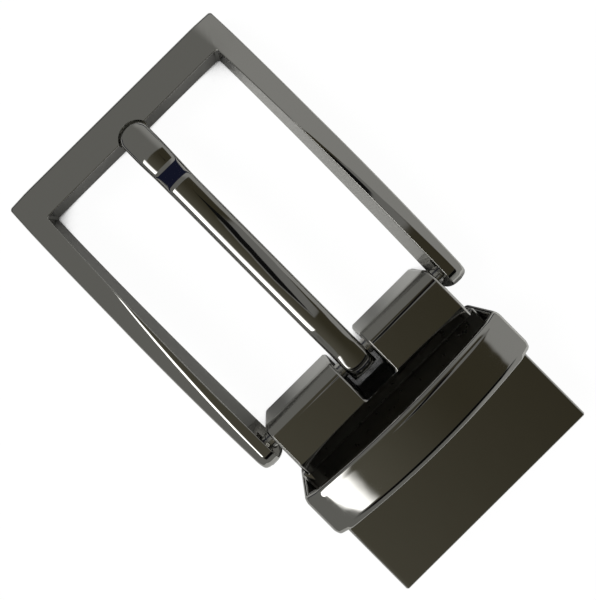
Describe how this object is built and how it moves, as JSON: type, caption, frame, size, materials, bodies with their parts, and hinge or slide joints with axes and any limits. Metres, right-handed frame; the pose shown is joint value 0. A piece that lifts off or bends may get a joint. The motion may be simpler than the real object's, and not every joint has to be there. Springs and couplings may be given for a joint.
{
  "type": "belt buckle",
  "caption": "Clamp-on dress-belt buckle: a three-sided frame and a prong hinged on a clamp case, with a keeper loop and a toothed strap flap on the back.",
  "frame": {"origin": "centre of the buckle's box in plan, on the surface that its back lies on", "axes": "+X across the strap, +Y from the clamp case's open tail towards the frame's crossbar, +Z out of the buckle's front"},
  "size_m": [0.044, 0.0834, 0.0154],
  "materials": {
    "frame_plating": "mirror-polished black nickel over die-cast zinc",
    "prong_plating": "mirror-polished black nickel",
    "case_plating": "mirror-polished black nickel, satin inside the strap channel",
    "keeper_plating": "mirror-polished black nickel",
    "flap_steel": "brushed dark nickel",
    "pin_steel": "ground steel",
    "rivet_steel": "turned steel"
  },
  "bodies": {
    "clamp": {"clamp_case": "case_plating", "keeper_loop": "keeper_plating", "keeper_rivet_left": "rivet_steel", "keeper_rivet_right": "rivet_steel", "flap_pin": "pin_steel"},
    "frame": {"buckle_frame": "frame_plating", "hinge_axle": "pin_steel"},
    "prong": {"prong": "prong_plating"},
    "flap": {"clamp_flap": "flap_steel"}
  },
  "joints": [
    {"name": "frame_hinge", "type": "hinge", "parent": "clamp", "child": "frame", "pos_m": [0, -0.012, 0.0059], "axis": [1, 0, 0], "range_deg": [-120, 20]},
    {"name": "prong_swing", "type": "hinge", "parent": "frame", "child": "prong", "pos_m": [0, -0.012, 0.0059], "axis": [1, 0, 0], "range_deg": [0, 90]},
    {"name": "flap_hinge", "type": "hinge", "parent": "clamp", "child": "flap", "pos_m": [0, -0.03935, 0.00125], "axis": [-1, 0, 0], "range_deg": [0, 100]}
  ]
}
